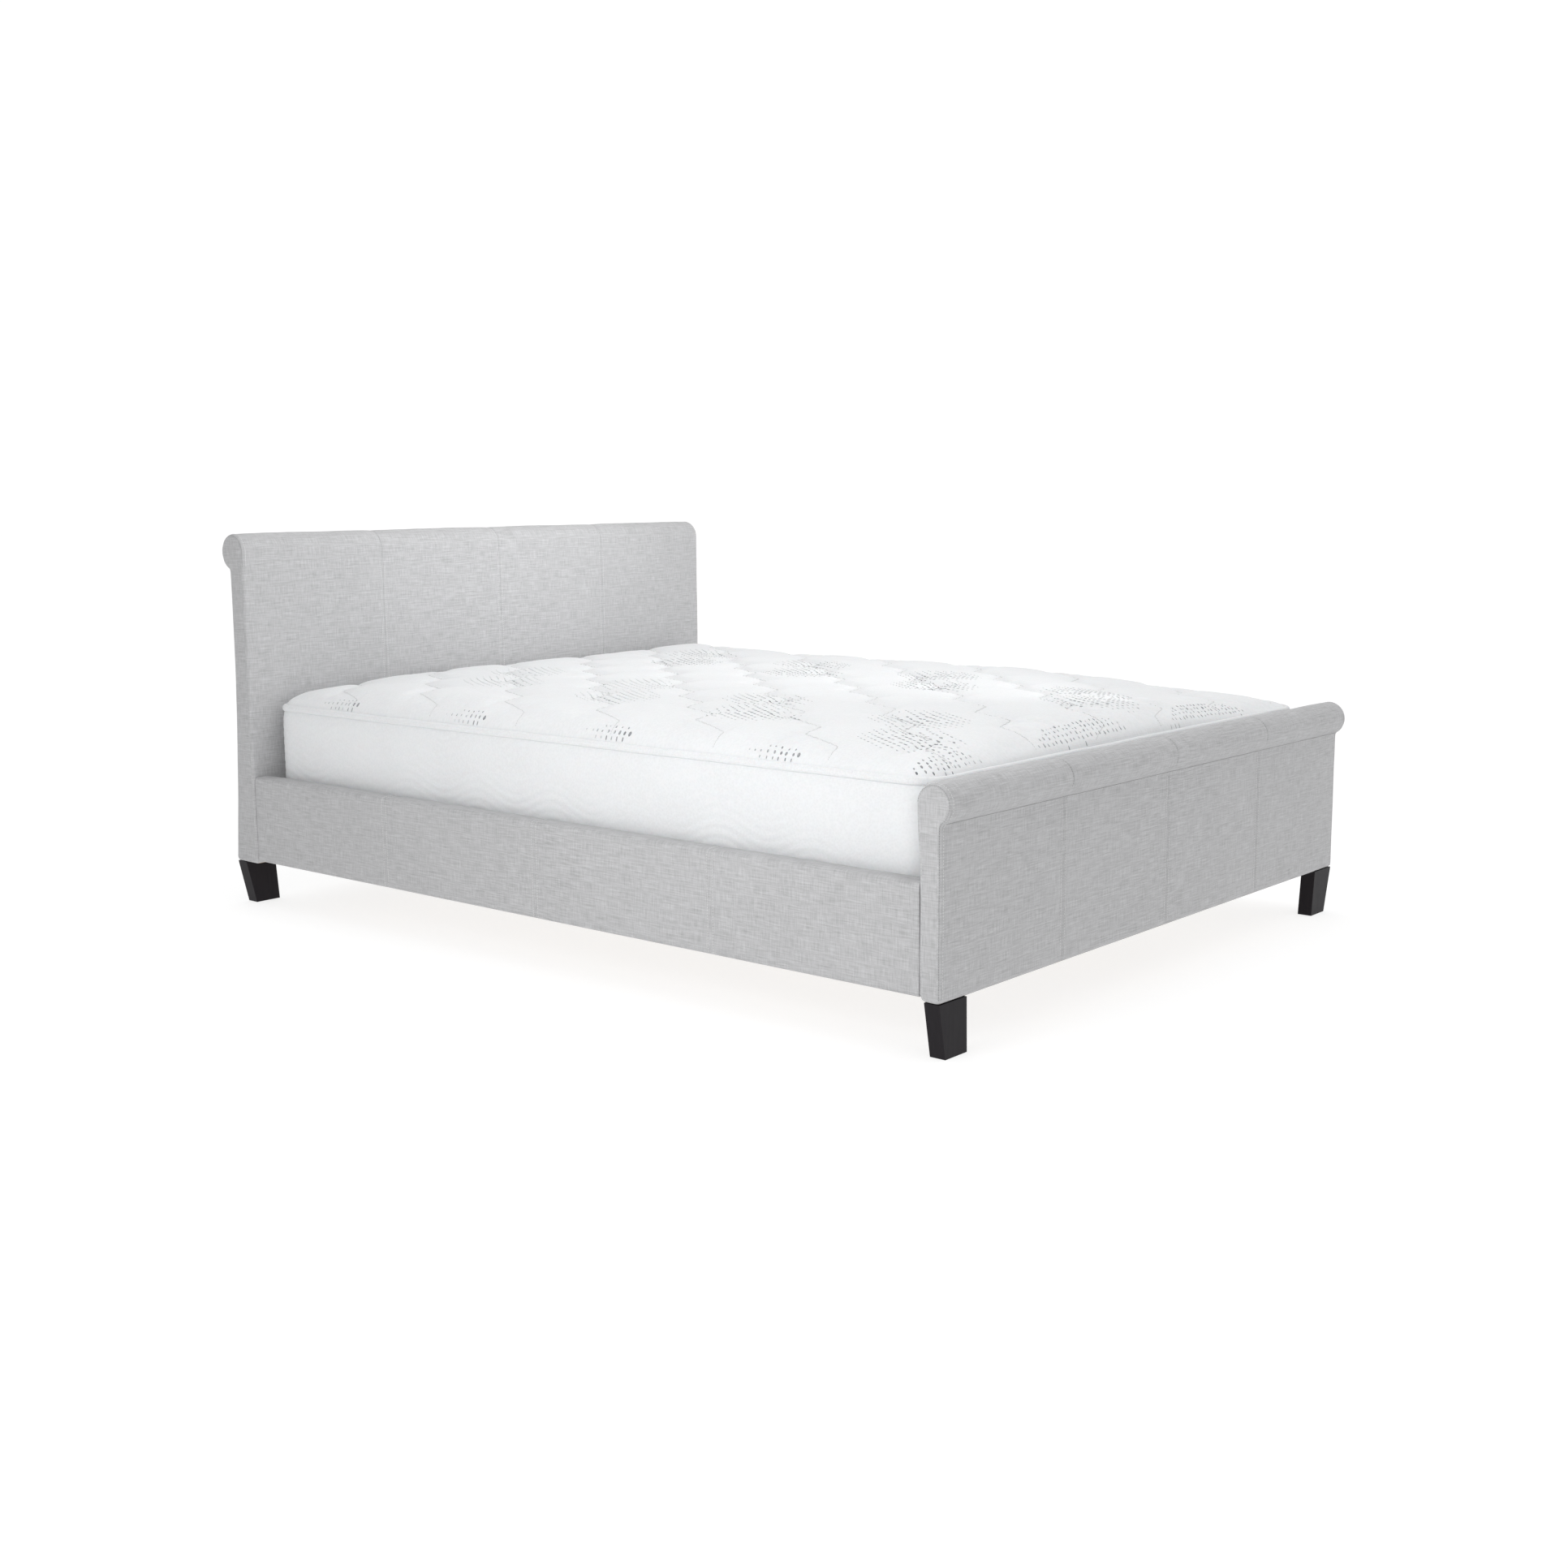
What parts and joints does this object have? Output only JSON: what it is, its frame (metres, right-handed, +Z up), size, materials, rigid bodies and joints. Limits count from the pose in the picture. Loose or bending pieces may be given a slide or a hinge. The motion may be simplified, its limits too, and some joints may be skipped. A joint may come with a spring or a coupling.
{
  "type": "sleigh bed",
  "caption": "Upholstered sleigh bed with a rolled headboard and footboard, plain side rails, sprung slats and a quilted mattress.",
  "frame": {"origin": "on the floor, under the middle of the bed's outline", "axes": "+Y runs from the foot to the head of the bed, +X across it, +Z up"},
  "size_m": [1.6, 2.1728, 0.912],
  "materials": {
    "upholstery": "matte",
    "ticking": "matte",
    "carcass_timber": "matte",
    "pine": "matte",
    "beech": "satin",
    "espresso_wood": "satin",
    "black_nylon": "matte",
    "black_steel": "satin",
    "zinc_steel": "satin"
  },
  "bodies": {
    "frame": {"centre_beam": "pine", "centre_beam_hanger_foot_end": "black_steel", "centre_beam_hanger_head_end": "black_steel", "centre_leg_foot_end": "espresso_wood", "centre_leg_head_end": "espresso_wood", "corner_bolt_foot_end_left": "zinc_steel", "corner_bolt_foot_end_right": "zinc_steel", "corner_bolt_head_end_left": "zinc_steel", "corner_bolt_head_end_right": "zinc_steel", "corner_bracket_foot_end_left": "black_steel", "corner_bracket_foot_end_right": "black_steel", "corner_bracket_head_end_left": "black_steel", "corner_bracket_head_end_right": "black_steel", "corner_leg_foot_end_left": "espresso_wood", "corner_leg_foot_end_right": "espresso_wood", "corner_leg_head_end_left": "espresso_wood", "corner_leg_head_end_right": "espresso_wood", "footboard_cover": "upholstery", "footboard_panel": "carcass_timber", "footboard_roll_former": "pine", "headboard_cover": "upholstery", "headboard_panel": "carcass_timber", "headboard_roll_former": "pine", "side_rail_board_left": "carcass_timber", "side_rail_board_right": "carcass_timber", "side_rail_cover_left": "upholstery", "side_rail_cover_right": "upholstery", "slat_holder_strip_centre": "black_nylon", "slat_holder_strip_left": "black_nylon", "slat_holder_strip_right": "black_nylon", "slat_ledge_left": "pine", "slat_ledge_right": "pine", "slat_left_01": "beech", "slat_left_02": "beech", "slat_left_03": "beech", "slat_left_04": "beech", "slat_left_05": "beech", "slat_left_06": "beech", "slat_left_07": "beech", "slat_left_08": "beech", "slat_left_09": "beech", "slat_left_10": "beech", "slat_left_11": "beech", "slat_left_12": "beech", "slat_right_01": "beech", "slat_right_02": "beech", "slat_right_03": "beech", "slat_right_04": "beech", "slat_right_05": "beech", "slat_right_06": "beech", "slat_right_07": "beech", "slat_right_08": "beech", "slat_right_09": "beech", "slat_right_10": "beech", "slat_right_11": "beech", "slat_right_12": "beech"},
    "mattress": {"mattress": "ticking"},
    "glide_foot_end": {"levelling_glide_foot_end": "black_nylon"},
    "glide_head_end": {"levelling_glide_head_end": "black_nylon"}
  },
  "joints": [
    {"name": "mattress_lift", "type": "slide", "parent": "frame", "child": "mattress", "axis": [0, 0, 1], "range_m": [0, 0.7]},
    {"name": "glide_foot_end_screw", "type": "slide", "parent": "frame", "child": "glide_foot_end", "axis": [0, 0, 1], "range_m": [0, 0.01]},
    {"name": "glide_head_end_screw", "type": "slide", "parent": "frame", "child": "glide_head_end", "axis": [0, 0, 1], "range_m": [0, 0.01]}
  ]
}
